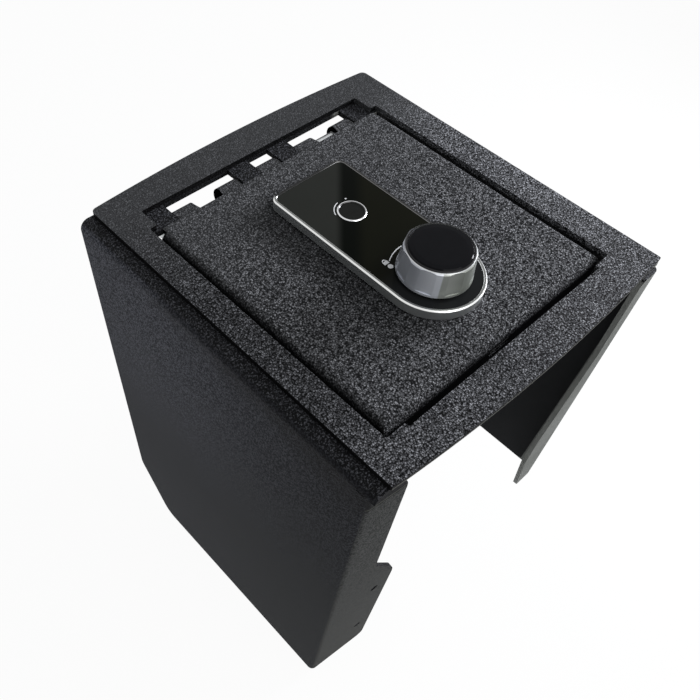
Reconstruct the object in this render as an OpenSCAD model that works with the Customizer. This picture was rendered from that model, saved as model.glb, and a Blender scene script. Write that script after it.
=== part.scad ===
/* [Body] */
// Width over the two side walls
body_w = 200; // [190:1:240]
// Depth from the front corners to the back edge
body_d = 198; // [190:1:230]
// Height from the wall feet to the top of the frame plate
body_h = 286; // [270:1:340]
// Thickness of the folded shell sheet
sheet = 2.8; // [2.4:0.1:3]
// Outer bend radius of the two shoulders
shoulder_r = 5; // [4:0.5:7]
// How far the front edge bows out at its middle
front_bow = 4.1; // [3:0.1:8]
// How much further forward the right end of the plate's front edge lies than its left end
front_skew = 2.2; // [0:0.1:4]
// How far the frame plate's back edge bows out at its middle
back_bow = 4.2; // [0:0.2:6]
// Drop of the lip folded down along the back edge
back_lip = 14; // [12:1:18]
// Thickness of the frame plate on top of the shell
plate_t = 2.8; // [2.4:0.1:3]
// Strip of shell that shows on the left of the frame plate
shoulder_strip = 7.5; // [6:0.5:9]
// Strip of shell on the right of the frame plate
right_strip = 3; // [2:0.5:9]

/* [Side walls] */
// Run along Y of the cut-off back bottom corners
foot_cut_y = 26; // [20:1:45]
// Rise of the cut-off back bottom corners
foot_cut_z = 48; // [30:1:80]
// Rounding of the cut-off corners
foot_r = 14; // [4:1:16]
// Depth of the clearance cut in the front of the right wall
clear_cut_y = 67; // [50:1:90]
// Height of that clearance cut above the feet
clear_cut_z = 87; // [60:1:110]

/* [Mounting flange] */
// Set-back of the flange's bend from the front corners
flange_set = 3.5; // [3:0.1:5]
// Outer radius of the flange's bend
flange_bend = 4; // [3.6:0.2:6]
// Lean of the flange beyond square with the wall
flange_lean = 6; // [0:0.5:8]
// Width of the flange's face at its top
flange_top_w = 20; // [16:0.5:22]
// Width of the flange's face where it starts to widen
flange_w = 22.9; // [22:0.1:28]
// Width of the flange's face at its foot
flange_foot_w = 43.4; // [41:0.2:54]
// Height at which the flange starts to widen
flange_step_z = 168; // [160:1:180]
// Height over which the flange widens
flange_step_h = 31; // [25:1:38]
// Diameter of the two screw holes
hole_d = 5.3; // [4:0.1:6.5]
// Distance of the screw holes from the flange's bend
hole_x = 32; // [30:0.5:34]
// Height of the lower screw hole
hole_z = 43; // [35:1:50]
// Distance between the two screw holes
hole_pitch = 75.4; // [60:0.2:80]

/* [Right flange] */
// How far the right flange stands forward of the front corners at its top
right_fore = 3.3; // [0:0.1:4]
// Lean of the right flange, which brings its foot forward
right_lean = 1.95; // [0:0.05:3]
// Width of the right flange at its top
right_top_w = 15.5; // [12:0.5:22]
// Width of the right flange at its widest
right_wide_w = 29.8; // [24:0.2:36]
// Width of the right flange at its foot
right_foot_w = 18; // [12:0.5:24]
// Height of the right flange's foot
right_foot_z = 80; // [60:1:110]
// Height at which the right flange starts to widen
right_step_z = 224; // [200:1:240]
// Height over which the right flange widens
right_step_h = 75; // [40:1:80]
// Rise of the slanted corner at the right flange's foot
right_cut_h = 43; // [20:1:60]

/* [Lid opening] */
// Width of the opening in the frame
open_w = 156.8; // [150:0.2:160]
// Frame border in front of the opening, at its corners
open_front = 16.2; // [14:0.2:20]
// Frame border behind the opening
open_back = 15.5; // [14:0.5:18]
// Depth of the finger recess in the front edge
recess_d = 2.2; // [1:0.2:4]
// Width of the finger recess
recess_w = 135; // [100:1:140]
// Width of the narrower part at the hinge
throat_w = 148.4; // [146:0.2:150]
// Length of the narrower part at the hinge
throat_l = 12.5; // [11:0.5:14]

/* [Lid] */
// Gap between the lid and the sides of the opening
lid_side_gap = 1.2; // [1:0.1:2.5]
// Gap between the lid and the front corners of the opening
lid_front_gap = 1.8; // [1.5:0.1:4]
// Drop of the lid below the top of the frame plate
lid_drop = 0.5; // [0.3:0.1:0.6]
// Thickness of the lid sheet
lid_t = 2.5; // [2:0.1:2.8]
// Outer radius of the rolled lid edges
lid_r = 6; // [4:0.5:7]
// Height of the lid skirt over all
skirt_h = 16; // [14:0.5:17]

/* [Hinge] */
// Distance of the hinge axis in front of the opening's back edge
axis_in = 8.9; // [8.7:0.1:9.5]
// Depth of the hinge axis below the top of the frame plate
axis_down = 8.8; // [8.6:0.1:9.4]
// Diameter of the hinge pins
hinge_pin_d = 5.6; // [5:0.2:5.8]
// Running clearance on the radius of the hinge pins
hinge_fit = 0.05; // [0.02:0.01:0.1]
// Width of the two long knuckles
knuckle_w = 40.5; // [36:0.5:42]
// Distance of the long knuckles from the middle
knuckle_x = 40.75; // [39:0.25:42]
// Width of the middle knuckle
mid_knuckle_w = 13; // [10:0.5:16]
// Side gap between a knuckle and the tongues of the shell
knuckle_gap = 0.7; // [0.5:0.1:1.2]
// Distance of the window in the left knuckle from the middle
window_left_x = 40.75; // [38:0.25:43]
// Width of the window in the left knuckle
window_left_w = 16.5; // [9:0.5:18]
// Distance of the window in the right knuckle from the middle
window_right_x = 41.5; // [38:0.25:43]
// Width of the window in the right knuckle
window_right_w = 16; // [9:0.5:18]

/* [Lock] */
// Width of the lock module
lock_w = 49; // [45:1:54]
// Share of the depth that lies in front of the lock's round end
lock_share = 0.1843; // [0.17:0.0001:0.2]
// Length of the lock module
lock_l = 109; // [107:1:116]
// Corner radius at the square end of the lock
lock_r = 5; // [3:0.5:7]
// Height of the bezel
bezel_h = 5.2; // [5:0.2:7]
// Width of the bezel's rim
rim_w = 1.7; // [1.4:0.1:2.4]
// Thickness of the glass panel
glass_t = 2; // [1.5:0.1:2.4]
// Thickness of the gasket under the bezel
gasket_t = 0.8; // [0.5:0.1:1.2]
// Outer diameter of the fingerprint sensor ring
ring_d = 14.6; // [12:0.2:17]
// Distance from the knob to the fingerprint sensor
sensor_y = 52; // [48:0.5:55]

/* [Knob] */
// Diameter of the knob at its base
knob_d = 35.6; // [30:0.2:38]
// Diameter of the knob at its top
knob_top_d = 33; // [30:0.2:36]
// Height of the knob
knob_h = 14; // [12:0.2:18]
// Number of grip flats round the knob
knob_flats = 8; // [6:1:10]
// Depth of a grip flat at its middle
flat_cut = 0.42; // [0.2:0.02:0.8]
// Height of the band left round below the flats
flat_foot = 1.5; // [1:0.1:3]
// Diameter of the black cap in the knob
cap_d = 29.6; // [26:0.2:31]
// Diameter of the spindle
spindle_d = 10; // [8:0.5:11]
// Turn of the knob from unlocked to locked
knob_turn = 90; // [80:5:90]

/* [Bolt work] */
// Travel of the three bolts
bolt_travel = 10; // [8:0.5:11]
// Width of a bolt
bolt_w = 14; // [12:0.5:15]
// Thickness of a bolt
bolt_t = 3; // [2.5:0.1:3.4]
// Distance of a follower pin from the spindle with the bolts drawn in
follower_in = 13; // [12.5:0.5:15]
// Diameter of a follower pin
follower_d = 5; // [4:0.2:5.4]
// Clearance on each side of a follower pin in its slot
follower_fit = 0.15; // [0.1:0.05:0.3]
// Thickness of the cam wheel
wheel_t = 3; // [2.5:0.1:3.4]
// Gap between sliding parts of the bolt work
slide_gap = 0.3; // [0.25:0.05:0.5]

/* [Electronics] */
// Width of the housing under the lid
house_w = 74; // [66:1:84]
// Length of the housing
house_l = 52.5; // [52:0.5:56]
// Height of the housing
house_h = 22; // [20:0.5:26]
// Wall of the housing
house_t = 1.8; // [1.4:0.1:2.2]
// Diameter of a battery cell
cell_d = 10.5; // [10:0.1:10.8]
// Length of a battery cell
cell_l = 44.5; // [44:0.1:46]
// Travel of the blocking pin
block_travel = 3.5; // [3:0.1:4]

/* [Hidden] */
$fn = 64;
eps = 0.01;
far = 400;

// Places across the depth, the middle of the whole depth being zero
front_reach = max(front_bow, right_fore + (body_h - right_foot_z) * sin(right_lean)
    - flange_bend * (1 - cos(right_lean)));
y_back = (body_d + front_reach - back_bow) / 2;
y_front = y_back - body_d;
bow_r = (pow(body_w / 2 - shoulder_strip, 2) + front_bow * front_bow) / (2 * front_bow);
bow_back_r = (pow(body_w / 2 - right_strip, 2) + back_bow * back_bow) / (2 * back_bow);

// Levels of the two sheets on top
z_top = body_h;
z_shell = z_top - plate_t;
z_under = z_shell - sheet;

// The lid opening
y_open = y_front + open_front;
y_open_back = y_back - open_back;
y_throat = y_open_back - throat_l;

// The hinge
axis_y = y_open_back - axis_in;
axis_z = z_top - axis_down;
pin_r = hinge_pin_d / 2;
curl_in = pin_r + hinge_fit;
curl_out = curl_in + lid_t;
ear_t = 3;
ear_r = 5.5;
pin_head_r = 3.05;
pin_head_t = 1.6;
tongue_front = axis_y - 5.2;
tongue_end_x = (knuckle_x + knuckle_w / 2 + knuckle_gap + throat_w / 2) / 2;
tongue_mid_x = (mid_knuckle_w / 2 + knuckle_x - knuckle_w / 2) / 2;
ear_head_gap = 0.3;
pin_left_end = window_left_x + window_left_w / 2 + 1;
pin_right_end = window_left_x - window_left_w / 2 - 6;
finger_len = 12;

// The lid
lid_w = open_w - 2 * lid_side_gap;
lid_y0 = y_open + lid_front_gap;
lid_y1 = axis_y - 6.6;
lid_z1 = z_top - lid_drop;
lid_z0 = lid_z1 - lid_t;
skirt_z = lid_z1 - skirt_h;
lid_corner_r = 2.5;
skirt_end = 3.2;
window_front = axis_y - 4.9;

// The lock module
lock_y0 = y_front + lock_share * body_d;
lock_y1 = lock_y0 + lock_l;
knob_y = lock_y0 + lock_w / 2;
bezel_z = lid_z1 + gasket_t;
glass_z1 = bezel_z + bezel_h - 0.2;
glass_z0 = glass_z1 - glass_t;
bezel_floor = 1.4;
rim_bevel = 0.6;
glass_gap = 0.1;
sensor_yc = knob_y + sensor_y;
ring_r = ring_d / 2;
ring_wall = 1.1;
sensor_fit = 0.1;
wire_hole = [10, 12];
wire_y = sensor_yc - 2;

// The spindle and its bush
spindle_r = spindle_d / 2;
spindle_fit = 0.05;
bush_r = spindle_r + 2;
bush_flange_r = bush_r + 2;
bush_flange_t = 1.2;
knob_z = glass_z1 + 0.8;
knob_z1 = knob_z + knob_h;
knob_bevel = 1.2;
cap_recess = 2.4;
cap_proud = 0.5;
spindle_top = knob_z + 9;

// The bolt work, hung below the lid
bolt_z1 = z_under - 0.8;
bolt_z0 = bolt_z1 - bolt_t;
wheel_z1 = bolt_z0 - slide_gap;
wheel_z0 = wheel_z1 - wheel_t;
bolt_in = follower_in - 4;
follower_r = follower_d / 2;
follower_z0 = wheel_z0 - 0.6;
cam_slot_r = follower_r + follower_fit;
notch_d = block_travel + 0.6;
notch_w = 5.8;
wheel_r = follower_in + bolt_travel + cam_slot_r + 2.2 + notch_d;
nut_h = 4;
nut_r = spindle_r + 4;
spindle_z0 = wheel_z0 - nut_h - 0.6;
bolt_tip_in = 0.5;
bolt_tip_bevel = 1.4;
guide_l = 8;
guide_wall = 2;
side_guide_x = lid_w / 2 - lid_t - 6 - guide_l;
front_guide_x = wheel_r + 0.6;
front_guide_l = max(2, knob_y - front_guide_x - lid_y0 - lid_r);
window_gap = 0.5;

// The rests that stop the lid
rest_t = 2;
rest_y0 = lid_y0 + 6;
rest_l = 16;
rest_x0 = lid_w / 2 - 8;
rest_x1 = open_w / 2 + 4;
bumper_h = 3.5;
bumper_r = 3.4;
bumper_x = lid_w / 2 - lid_t / 2 - 1;
rest_z1 = skirt_z - 0.3 - bumper_h;

// The electronics under the lid
house_y0 = knob_y + wheel_r + block_travel + 1;
house_z1 = lid_z0;
house_z0 = house_z1 - house_h;
cover_t = 1.8;
board_t = 1.6;
board_z1 = house_z1 - house_t - 1.2;
board_y0 = house_y0 + 16;
cell_z = house_z0 + cell_d / 2 + 0.1;
cell_y0 = house_y0 + 15.6;
cell_pitch = cell_d + 0.5;
contact_t = 0.6;
lock_screw_r = 1.5;
lock_screw_x = 17;
lock_screw_head_r = 2.8;
lock_screw_head_h = 2;
screw_gap = 0.1;
screw_y = [house_y0 + 5, lock_y1 - 6];
board_y1 = lock_y1 - 6 - lock_screw_head_r - 0.5;
cradle_t = 1.4;
cover_screw_x = house_w / 2 - 5.5;
cover_screw_y = [house_y0 + 5.5, house_y0 + house_l - 5.5];
cover_screw_r = 1.2;
cover_head_r = 2.2;
boss_r = 3;
block_r = 2.5;
block_fit = 0.08;
block_z = (wheel_z0 + wheel_z1) / 2;
block_y0 = knob_y + wheel_r + 0.5;
block_l = 12;
motor_y0 = block_y0 + block_l + 0.3;
motor_l = 9;
motor_w = 12;
motor_h = 9;

// Extrusions along X and Y of an outline drawn in the upright plane
module extrude_x(x0, x1) {
    translate([x0, 0, 0]) rotate([90, 0, 90]) linear_extrude(x1 - x0) children();
}
module extrude_y(y0, y1) {
    translate([0, y1, 0]) rotate([90, 0, 0]) linear_extrude(y1 - y0) children();
}

// Points of an arc that rounds the corner p1 between p0 and p2
function unit(v) = v / norm(v);
function fillet(p0, p1, p2, r, n) =
    let (a = unit(p0 - p1), b = unit(p2 - p1))
    r <= 0 || norm(a + b) < 0.001 ? [p1] :
    let (half = acos(a * b) / 2, t = r / tan(half))
    let (c = p1 + unit(a + b) * r / sin(half))
    let (s = p1 + a * t - c, e = p1 + b * t - c)
    let (a0 = atan2(s[1], s[0]), turn = (atan2(e[1], e[0]) - a0 + 540) % 360 - 180)
    [for (i = [0:n]) c + r * [cos(a0 + turn * i / n), sin(a0 + turn * i / n)]];
function rounded(pts, radii, n = 8) =
    let (m = len(pts))
    [for (i = [0:m - 1]) each fillet(pts[(i + m - 1) % m], pts[i], pts[(i + 1) % m], radii[i], n)];

// The bowed front and back edges of the frame plate
function bow_y(x) = y_front - front_bow + bow_r - sqrt(bow_r * bow_r - x * x)
    - front_skew * (x / body_w + 0.5);
function bow_back_y(x) = back_bow <= 0 ? y_back
    : y_back + back_bow - bow_back_r + sqrt(bow_back_r * bow_back_r - x * x);

// Plan outline of the frame plate, with its corners rounded
module plate_outline(n = 24) {
    x0 = shoulder_strip - body_w / 2;
    x1 = body_w / 2 - right_strip;
    across = [for (i = [0:n]) x0 + (x1 - x0) * i / n];
    pts = concat(
        [for (x = across) [x, bow_y(x)]], [for (i = [n:-1:0]) [across[i], bow_back_y(across[i])]]);
    polygon(rounded(pts, [for (i = [0:2 * n + 1]) i == n ? 1 : i > n && i % (n + 1) % n == 0 ? 3 : 0]));
}

// Plan outline of the lid opening, with its finger recess and its throat
module opening_outline() {
    o = open_w / 2;
    t = throat_w / 2;
    r = recess_w / 2;
    pts = [
        [-r, y_open - recess_d], [r, y_open - recess_d], [r, y_open], [o, y_open],
        [o, y_throat], [t, y_throat], [t, y_open_back],
        [-t, y_open_back], [-t, y_throat], [-o, y_throat], [-o, y_open], [-r, y_open]
    ];
    polygon(rounded(pts, [0.8, 0.8, 0.7, 1, 1, 0.8, 1, 1, 0.8, 1, 1, 0.7], 4));
}

// Tongues of the shell that reach forward between the knuckles of the lid
module tongue_outline() {
    x0 = mid_knuckle_w / 2 + knuckle_gap;
    x1 = knuckle_x - knuckle_w / 2 - knuckle_gap;
    x2 = knuckle_x + knuckle_w / 2 + knuckle_gap;
    for (s = [-1, 1]) {
        translate([s > 0 ? x0 : -x1, tongue_front]) square([x1 - x0, y_open_back + 1 - tongue_front]);
        translate([s > 0 ? x2 : -x2 - throat_w, tongue_front])
            square([throat_w, y_open_back + 1 - tongue_front]);
    }
}

// Section of the folded saddle: top sheet, two shoulders and two walls
module saddle_section(grow = 0) {
    h = body_w / 2 - grow;
    r = shoulder_r - grow;
    top = z_shell - grow;
    translate([-h, -1]) square([2 * h, top - r + 1]);
    translate([-h + r, -1]) square([2 * h - 2 * r, top + 1]);
    for (s = [-1, 1]) translate([s * (h - r), top - r]) circle(r);
}

// Side outline of the right wall, behind the leaning bend of its flange, with its clearance cut
z_relief = z_under - 1.8;
right_bend_y = y_front - right_fore + flange_bend;
function right_wall_y(z) = right_bend_y - (z_top - z) * tan(right_lean) + 3;
module right_wall_side() {
    front = bow_y(body_w / 2);
    polygon(rounded(
        [
            [front, z_top + 10], [front, z_relief], [right_wall_y(z_relief), z_relief],
            [right_wall_y(clear_cut_z), clear_cut_z],
            [y_front + clear_cut_y, clear_cut_z], [y_front + clear_cut_y, 0],
            [y_back - foot_cut_y, 0], [y_back, foot_cut_z], [y_back, z_top + 10]
        ],
        [0, 0, 0, 0, 2, 3, foot_r, foot_r, 0]
    ));
}

// Side outline of the left wall, which stops behind the bend of its flange
module left_wall_side(bend_y) {
    front = bow_y(-body_w / 2);
    polygon(rounded(
        [
            [front, z_top + 10], [front, z_relief], [bend_y + 3, z_relief], [bend_y + 3, 0],
            [y_back - foot_cut_y, 0], [y_back, foot_cut_z], [y_back, z_top + 10]
        ],
        [0, 0, 0, 0, foot_r, foot_r, 0]
    ));
}

// Plan of the flange, its bend and a short run of the left wall
module flange_plan() {
    a = 180 + 90 - flange_lean;
    along = [cos(flange_lean), -sin(flange_lean)];
    tips = [for (r = [flange_bend, flange_bend - sheet]) r * [cos(a), sin(a)] + flange_foot_w * along];
    arc = [for (i = [0:16]) 180 + (a - 180) * i / 16];
    polygon(concat(
        [[-flange_bend, 10]], [for (t = arc) flange_bend * [cos(t), sin(t)]], tips,
        [for (i = [16:-1:0]) (flange_bend - sheet) * [cos(arc[i]), sin(arc[i])]],
        [[sheet - flange_bend, 10]]
    ));
}

// Face of the flange folded in from the left wall, measured from its bend
flange_top = z_under - 2.4;
module flange_face() {
    difference() {
        polygon(rounded(
            [
                [-0.3, 0], [flange_foot_w, 0], [flange_foot_w, flange_step_z - flange_step_h],
                [flange_w, flange_step_z], [flange_top_w, flange_top], [-0.3, flange_top]
            ],
            [0, 6, 26, 5, 14, 0]
        ));
        for (i = [0, 1]) translate([hole_x, hole_z + i * hole_pitch]) circle(d = hole_d);
    }
}

// The right flange: plan of its bend, and its face measured from the wall's outside
module right_plan() {
    arc = [for (i = [0:16]) -90 * i / 16];
    polygon(concat(
        [[flange_bend, 10]], [for (t = arc) flange_bend * [cos(t), sin(t)]],
        [[-right_wide_w, -flange_bend], [-right_wide_w, sheet - flange_bend]],
        [for (i = [16:-1:0]) (flange_bend - sheet) * [cos(arc[i]), sin(arc[i])]],
        [[flange_bend - sheet, 10]]
    ));
}
module right_face() {
    x0 = flange_bend;
    polygon(rounded(
        [
            [0.3, right_foot_z], [0.3, flange_top], [x0 - right_top_w, flange_top],
            [x0 - right_top_w, right_step_z], [x0 - right_wide_w, right_step_z - right_step_h],
            [x0 - right_wide_w, right_foot_z + right_cut_h], [x0 - right_foot_w, right_foot_z]
        ],
        [0, 0, 4, 14, 10, 8, 3]
    ));
}
module right_flange()
    translate([body_w / 2 - flange_bend, right_bend_y, z_top]) rotate([-right_lean, 0, 0])
        translate([0, 0, -z_top]) intersection() {
            translate([0, 0, right_foot_z]) linear_extrude(flange_top - right_foot_z) right_plan();
            union() {
                translate([0, -flange_bend - 1, right_foot_z])
                    cube([flange_bend + 1, flange_bend + 1, flange_top - right_foot_z]);
                translate([0, -1, clear_cut_z + 0.8])
                    cube([flange_bend + 1, 12, flange_top - clear_cut_z - 0.8]);
                extrude_y(-flange_bend - 1, sheet - flange_bend + 1) right_face();
            }
        }

module shell() color([0.09, 0.09, 0.1]) {
    bend_y = y_front + flange_set + flange_bend;
    side = body_w / 2 - shoulder_r;
    left_front = bow_y(-body_w / 2);
    right_front = bow_y(body_w / 2);
    difference() {
        intersection() {
            extrude_y(-far / 2, far / 2) difference() {
                saddle_section();
                saddle_section(sheet);
            }
            union() {
                translate([0, 0, -1]) linear_extrude(z_top + 20) polygon([
                    [-side, left_front], [side, right_front], [side, y_back], [-side, y_back]
                ]);
                extrude_x(side - eps, body_w / 2 + 1) right_wall_side();
                extrude_x(-body_w / 2 - 1, -side + eps) left_wall_side(bend_y);
            }
        }
        translate([0, 0, z_under - 1]) linear_extrude(sheet + 3) difference() {
            opening_outline();
            tongue_outline();
        }
    }
    // flange folded in from the left wall, round a bend as tall as itself
    translate([-body_w / 2 + flange_bend, bend_y, 0]) intersection() {
        linear_extrude(flange_top) flange_plan();
        union() {
            translate([-flange_bend - 1, -flange_bend - 1, 0]) cube([flange_bend + 1, 20, flange_top]);
            rotate([0, 0, -flange_lean]) extrude_y(-flange_bend - 1, -flange_bend + sheet + 1)
                flange_face();
        }
    }
    right_flange();
    // lip folded down along the back edge
    lip_w = body_w - 2 * shoulder_r - 6;
    translate([-lip_w / 2, y_back - sheet, z_top - back_lip])
        cube([lip_w, sheet, back_lip - plate_t - sheet / 2]);
}

module frame_plate() color([0.1, 0.1, 0.11])
    translate([0, 0, z_shell]) linear_extrude(plate_t) difference() {
        plate_outline();
        opening_outline();
    }

// A plate welded under a tongue, with the bore that carries a hinge pin
module hinge_ear(x) color([0.1, 0.1, 0.11])
    extrude_x(x - ear_t / 2, x + ear_t / 2) translate([axis_y, axis_z]) difference() {
        intersection() {
            union() {
                circle(ear_r);
                translate([0.5 - ear_r, 0]) square([2 * ear_r - 1, ear_r + 5]);
            }
            translate([-ear_r - 1, -ear_r - 1]) square([2 * ear_r + 2, z_under - axis_z + ear_r + 1]);
        }
        circle(pin_r);
    }

// A hinge pin lying along X, with its head at the outer end
module hinge_pin(x0, x1, head_right) color([0.78, 0.79, 0.78]) {
    extrude_x(x0, x1) translate([axis_y, axis_z]) circle(pin_r);
    hx = head_right ? x1 : x0 - pin_head_t;
    extrude_x(hx, hx + pin_head_t) translate([axis_y, axis_z]) circle(pin_head_r);
}
pin_out = tongue_end_x + ear_t / 2 + ear_head_gap;

// A bracket below the frame that stops the closed lid
module lid_rest(s) color([0.1, 0.1, 0.11]) {
    extrude_y(rest_y0, rest_y0 + rest_l) {
        x = s > 0 ? rest_x0 : -rest_x1;
        translate([x, rest_z1 - rest_t]) square([rest_x1 - rest_x0, rest_t]);
        translate([s > 0 ? rest_x1 - rest_t : -rest_x1, rest_z1 - rest_t])
            square([rest_t, z_under - rest_z1 + rest_t]);
    }
}
module lid_bumpers() color([0.06, 0.06, 0.06])
    for (s = [-1, 1]) translate([s * bumper_x, rest_y0 + rest_l / 2, rest_z1]) {
        cylinder(r = bumper_r, h = bumper_h - 0.8);
        cylinder(r = bumper_r - 0.8, h = bumper_h);
    }

// One face set of the lid's pan: rolled sides, rolled front, rounded corners
module pan(grow, bottom) {
    w = lid_w / 2 - grow;
    y0 = lid_y0 + grow;
    y1 = lid_y1;
    top = lid_z1 - grow;
    r = lid_r - grow;
    intersection() {
        extrude_y(y0 - 1, y1 + (grow > 0 ? 1 : 0)) {
            translate([-w, bottom]) square([2 * w, top - r - bottom]);
            translate([-w + r, bottom]) square([2 * (w - r), top - bottom]);
            for (s = [-1, 1]) translate([s * (w - r), top - r]) circle(r);
        }
        extrude_x(-w - 1, w + 1) {
            translate([y0, bottom]) square([far, top - r - bottom]);
            translate([y0 + r, bottom]) square([far, top - bottom]);
            translate([y0 + r, top - r]) circle(r);
        }
        translate([0, 0, bottom]) linear_extrude(top - bottom + 1)
            polygon(rounded(
                [[-w, y0], [w, y0], [w, y1 + 2], [-w, y1 + 2]],
                [lid_corner_r - grow / 2, lid_corner_r - grow / 2, 0, 0]
            ));
    }
}

// A strip of the lid that steps down and rolls round the hinge pin
module knuckle(x, w) {
    top = axis_z + curl_out;
    y0 = lid_y1 - finger_len;
    y1 = lid_y1 - 3.5;
    y2 = lid_y1 + 0.6;
    extrude_x(x - w / 2, x + w / 2) {
        polygon([
            [y0, lid_z1], [y1, lid_z1], [y2, top], [axis_y, top],
            [axis_y, top - lid_t], [y2 - 0.8, top - lid_t], [y1 - 0.8, lid_z0], [y0, lid_z0]
        ]);
        translate([axis_y, axis_z]) difference() {
            circle(curl_out);
            circle(curl_in);
            polygon([
                [0, 0], [0, 2 * curl_out], [-2 * curl_out, 2 * curl_out],
                [-2 * curl_out, 2 * curl_out * tan(12)]
            ]);
        }
    }
}

module knuckle_window(w)
    polygon(rounded(
        [
            [-w / 2, axis_y + 10], [-w / 2, axis_y], [-w / 2 + 1, window_front],
            [w / 2 - 1, window_front], [w / 2, axis_y], [w / 2, axis_y + 10]
        ],
        [0, 0, 1, 1, 0, 0]
    ));

module lid_panel() color([0.1, 0.1, 0.11]) difference() {
    union() {
        difference() {
            pan(0, skirt_z);
            pan(lid_t, skirt_z - 1);
        }
        for (s = [-1, 1]) knuckle(s * knuckle_x, knuckle_w);
        knuckle(0, mid_knuckle_w);
    }
    // window in each long knuckle, open towards the back
    translate([-window_left_x, 0, axis_z - 10]) linear_extrude(30) knuckle_window(window_left_w);
    translate([window_right_x, 0, axis_z - 10]) linear_extrude(30) knuckle_window(window_right_w);
    // the rolled edges stop short of the hinge corners
    for (s = [-1, 1]) translate([s > 0 ? throat_w / 2 - 1 : -lid_w, lid_y1 - skirt_end, skirt_z - 1])
        cube([lid_w - throat_w / 2 + 1, skirt_end + 1, skirt_h + 5]);
    // windows in the skirts for the bolts
    for (s = [-1, 1]) translate([s > 0 ? lid_w / 2 - lid_t - 2 : -lid_w / 2 - 1, 0, bolt_z0 - window_gap])
        translate([0, knob_y - bolt_w / 2 - window_gap, 0])
            cube([lid_t + 3, bolt_w + 2 * window_gap, bolt_t + 2 * window_gap]);
    translate([-bolt_w / 2 - window_gap, lid_y0 - 1, bolt_z0 - window_gap])
        cube([bolt_w + 2 * window_gap, lid_t + 3, bolt_t + 2 * window_gap]);
    // holes for the spindle's bush, the wires and the lock's screws
    translate([0, knob_y, lid_z0 - 1]) cylinder(r = bush_r, h = lid_t + 2);
    translate([-wire_hole[0] / 2, wire_y - wire_hole[1] / 2, lid_z0 - 1])
        cube([wire_hole[0], wire_hole[1], lid_t + 2]);
    lock_screw_holes(lid_z0 - 1, lid_z1 + 1);
}

module lock_screw_holes(z0, z1)
    for (s = [-1, 1], y = screw_y) translate([s * lock_screw_x, y, z0])
        cylinder(r = lock_screw_r + screw_gap, h = z1 - z0, $fn = 24);

// Outline of the lock: round at the knob, square with small corners at the back
module lock_outline(inset) {
    w = lock_w / 2 - inset;
    translate([0, knob_y]) circle(w, $fn = 128);
    polygon(rounded(
        [[-w, knob_y], [w, knob_y], [w, lock_y1 - inset], [-w, lock_y1 - inset]],
        [0, 0, lock_r - inset, lock_r - inset]
    ));
}

module lock_gasket() color([0.05, 0.05, 0.05])
    translate([0, 0, lid_z1]) difference() {
        linear_extrude(gasket_t) lock_outline(0.8);
        translate([0, knob_y, -1]) cylinder(r = bush_r, h = gasket_t + 2);
        translate([-wire_hole[0] / 2, wire_y - wire_hole[1] / 2, -1])
            cube([wire_hole[0], wire_hole[1], gasket_t + 2]);
        lock_screw_holes(-1, gasket_t + 1);
    }

// Section of the bezel's rim, from its outside at zero inwards along -X
module rim_section() {
    z = bezel_h;
    ledge = glass_z0 - bezel_z;
    polygon([
        [0, 0], [0, z - rim_bevel], [-rim_bevel, z], [-rim_w + 0.2, z], [-rim_w, z - 0.2],
        [-rim_w, ledge], [-rim_w - 0.5, ledge], [-rim_w - 0.5, 0]
    ]);
}

module lock_bezel() color([0.72, 0.73, 0.74]) translate([0, 0, bezel_z]) {
    h = lock_w / 2;
    difference() {
        linear_extrude(bezel_floor) lock_outline(rim_w - 0.1);
        translate([0, knob_y, -1]) cylinder(r = spindle_r + 0.6, h = 5);
        translate([-wire_hole[0] / 2, wire_y - wire_hole[1] / 2, -1])
            cube([wire_hole[0], wire_hole[1], 5]);
        for (s = [-1, 1], y = screw_y) translate([s * lock_screw_x, y, -1])
            cylinder(r = lock_screw_r, h = 5, $fn = 24);
    }
    // rim: half turn round the knob, two sides, two corners and the back
    translate([0, knob_y, 0]) rotate([0, 0, 180]) rotate_extrude(angle = 180, $fn = 128)
        translate([h, 0]) rim_section();
    for (s = [0, 1]) mirror([s, 0, 0]) {
        translate([h, lock_y1 - lock_r, 0]) rotate([90, 0, 0])
            linear_extrude(lock_y1 - lock_r - knob_y) rim_section();
        translate([h - lock_r, lock_y1 - lock_r, 0]) rotate_extrude(angle = 90)
            translate([lock_r, 0]) rim_section();
    }
    translate([h - lock_r, lock_y1, 0]) rotate([90, 0, -90]) linear_extrude(2 * (h - lock_r))
        mirror([1, 0]) rim_section();
}

module lock_glass() color([0.02, 0.02, 0.02]) difference() {
    translate([0, 0, glass_z0]) linear_extrude(glass_t) lock_outline(rim_w + glass_gap);
    translate([0, knob_y, glass_z0 - 1]) cylinder(r = spindle_r + 0.6, h = glass_t + 2);
    translate([0, sensor_yc, glass_z0 - 1]) cylinder(r = ring_r + sensor_fit, h = glass_t + 2);
}

sensor_z0 = bezel_z + bezel_floor;
module sensor_ring() color([0.75, 0.76, 0.77])
    translate([0, sensor_yc, 0]) rotate_extrude() polygon([
        [ring_r - ring_wall, glass_z0], [ring_r, glass_z0], [ring_r, glass_z1 + 0.2],
        [ring_r - 0.3, glass_z1 + 0.5], [ring_r - ring_wall + 0.3, glass_z1 + 0.5],
        [ring_r - ring_wall, glass_z1 + 0.2]
    ]);
module sensor_pad() color([0.1, 0.1, 0.11]) translate([0, sensor_yc, sensor_z0]) {
    cylinder(r = ring_r - ring_wall - sensor_fit, h = glass_z1 - sensor_z0 + 0.1);
    cylinder(r = ring_r + 1.5, h = glass_z0 - sensor_z0);
}

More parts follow.
